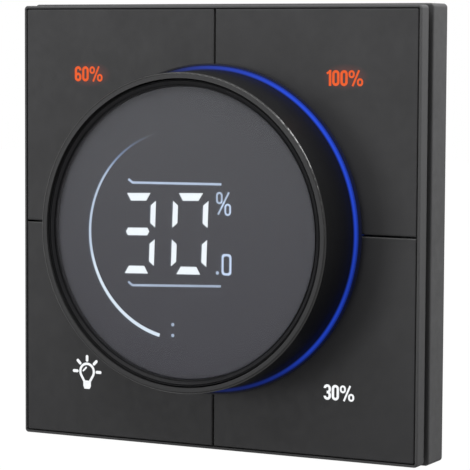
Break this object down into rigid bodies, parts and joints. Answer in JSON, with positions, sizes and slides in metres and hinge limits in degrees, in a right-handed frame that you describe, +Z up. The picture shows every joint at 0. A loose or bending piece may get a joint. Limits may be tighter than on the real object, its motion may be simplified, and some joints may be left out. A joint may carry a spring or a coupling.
{
  "type": "smart dimmer switch",
  "caption": "Square wall dimmer with lit push keys round a rotary knob, a fixed digital display in its middle, a glowing ring, and a rear housing for the wall box.",
  "frame": {"origin": "midway between the two wall screws, on the wall's surface", "axes": "+Z up, +X to the right, the front faces -Y and the rear housing lies on the +Y side"},
  "size_m": [0.086, 0.052, 0.086],
  "materials": {
    "charcoal_plastic": "fine-grained charcoal moulding, light blasted texture",
    "frame_plastic": "charcoal moulding, slightly smoother than the keys",
    "knob_plastic": "charcoal moulding, turned satin finish on the rim",
    "black_plastic": "black moulding",
    "housing_plastic": "black flame-retardant moulding, dull",
    "carrier_plastic": "dark grey moulding",
    "reflector_white": "opaque white moulding",
    "mask_film": "dark printed film",
    "display_glass": "smoke-tinted lens with a satin front",
    "display_light": "clear pieces lit white with a blue cast",
    "light_ring": "clear ring lit blue",
    "legend_orange": "clear inlay lit orange-red",
    "legend_white": "clear inlay lit white",
    "bezel_black": "black, slightly shiny",
    "board_green": "solder-masked fibreglass board",
    "board_black": "black solder-masked fibreglass board",
    "steel": "zinc-plated steel",
    "spring_steel": "bright spring steel",
    "brass": "plain brass",
    "tinned_pins": "gilt pins in a black base",
    "aluminium": "folded sheet, mill finish",
    "component_black": "black moulded component",
    "capacitor_sleeve": "dark blue sleeve",
    "film_yellow": "yellow box capacitor",
    "winding": "yellow tape over copper winding",
    "choke_copper": "enamelled copper wire round a ring core",
    "fuse_glass": "glass tube with plated caps",
    "sheet_film": "translucent insulating film",
    "led_white": "light source, pale yellow lens",
    "led_blue": "light source, blue",
    "magnet": "dark grey bonded magnet",
    "acetal": "natural white bearing plastic",
    "cable": "amber flexible cable",
    "switch_black": "black switch case",
    "stem_grey": "grey switch stem",
    "radio_can": "tinned screening can on a small board"
  },
  "bodies": {
    "base": {"outer_frame": "frame_plastic", "rear_housing": "housing_plastic", "housing_screws": "steel", "terminal_block": "housing_plastic", "terminal_clamps": "brass", "terminal_screws": "steel", "power_board": "board_green", "pin_header": "tinned_pins", "header_socket": "component_black", "bulk_capacitor": "capacitor_sleeve", "transformer": "winding", "film_capacitor": "film_yellow", "choke": "choke_copper", "fuse": "fuse_glass", "heat_sink": "aluminium", "dimmer_transistors": "component_black", "insulating_sheet": "sheet_film", "carrier_plate": "carrier_plastic", "detent_spring": "spring_steel", "control_board": "board_black", "radio_module": "radio_can", "control_chip": "component_black", "hall_sensors": "component_black", "ring_leds": "led_blue", "legend_leds": "led_white", "ring_collar": "black_plastic", "light_ring": "light_ring", "slide_washer": "acetal", "display_housing": "black_plastic", "post_screws": "steel", "display_board": "board_black", "segment_block": "reflector_white", "display_segments": "display_light", "display_mask": "mask_film", "display_glass": "display_glass", "display_bezel": "bezel_black", "display_cable": "cable", "cable_plug": "component_black", "switch_top_left": "switch_black", "switch_top_right": "switch_black", "switch_bottom_left": "switch_black", "switch_bottom_right": "switch_black"},
    "knob_body": {"knob": "knob_plastic", "magnet_ring": "magnet", "detent_ring": "acetal"},
    "key_body_top_left": {"key_top_left": "charcoal_plastic", "legend_top_left": "legend_orange", "stem_top_left": "stem_grey"},
    "key_body_top_right": {"key_top_right": "charcoal_plastic", "legend_top_right": "legend_orange", "stem_top_right": "stem_grey"},
    "key_body_bottom_left": {"key_bottom_left": "charcoal_plastic", "legend_bottom_left": "legend_white", "stem_bottom_left": "stem_grey"},
    "key_body_bottom_right": {"key_bottom_right": "charcoal_plastic", "legend_bottom_right": "legend_white", "stem_bottom_right": "stem_grey"}
  },
  "joints": [
    {"name": "knob_turn", "type": "hinge", "parent": "base", "child": "knob_body", "pos_m": [0, 0, 0], "axis": [0, 1, 0], "continuous": true},
    {"name": "key_press_top_left", "type": "slide", "parent": "base", "child": "key_body_top_left", "axis": [0, 1, 0], "range_m": [0, 0.0008], "stiffness_N_per_m": 2500},
    {"name": "key_press_top_right", "type": "slide", "parent": "base", "child": "key_body_top_right", "axis": [0, 1, 0], "range_m": [0, 0.0008], "stiffness_N_per_m": 2500},
    {"name": "key_press_bottom_left", "type": "slide", "parent": "base", "child": "key_body_bottom_left", "axis": [0, 1, 0], "range_m": [0, 0.0008], "stiffness_N_per_m": 2500},
    {"name": "key_press_bottom_right", "type": "slide", "parent": "base", "child": "key_body_bottom_right", "axis": [0, 1, 0], "range_m": [0, 0.0008], "stiffness_N_per_m": 2500}
  ]
}
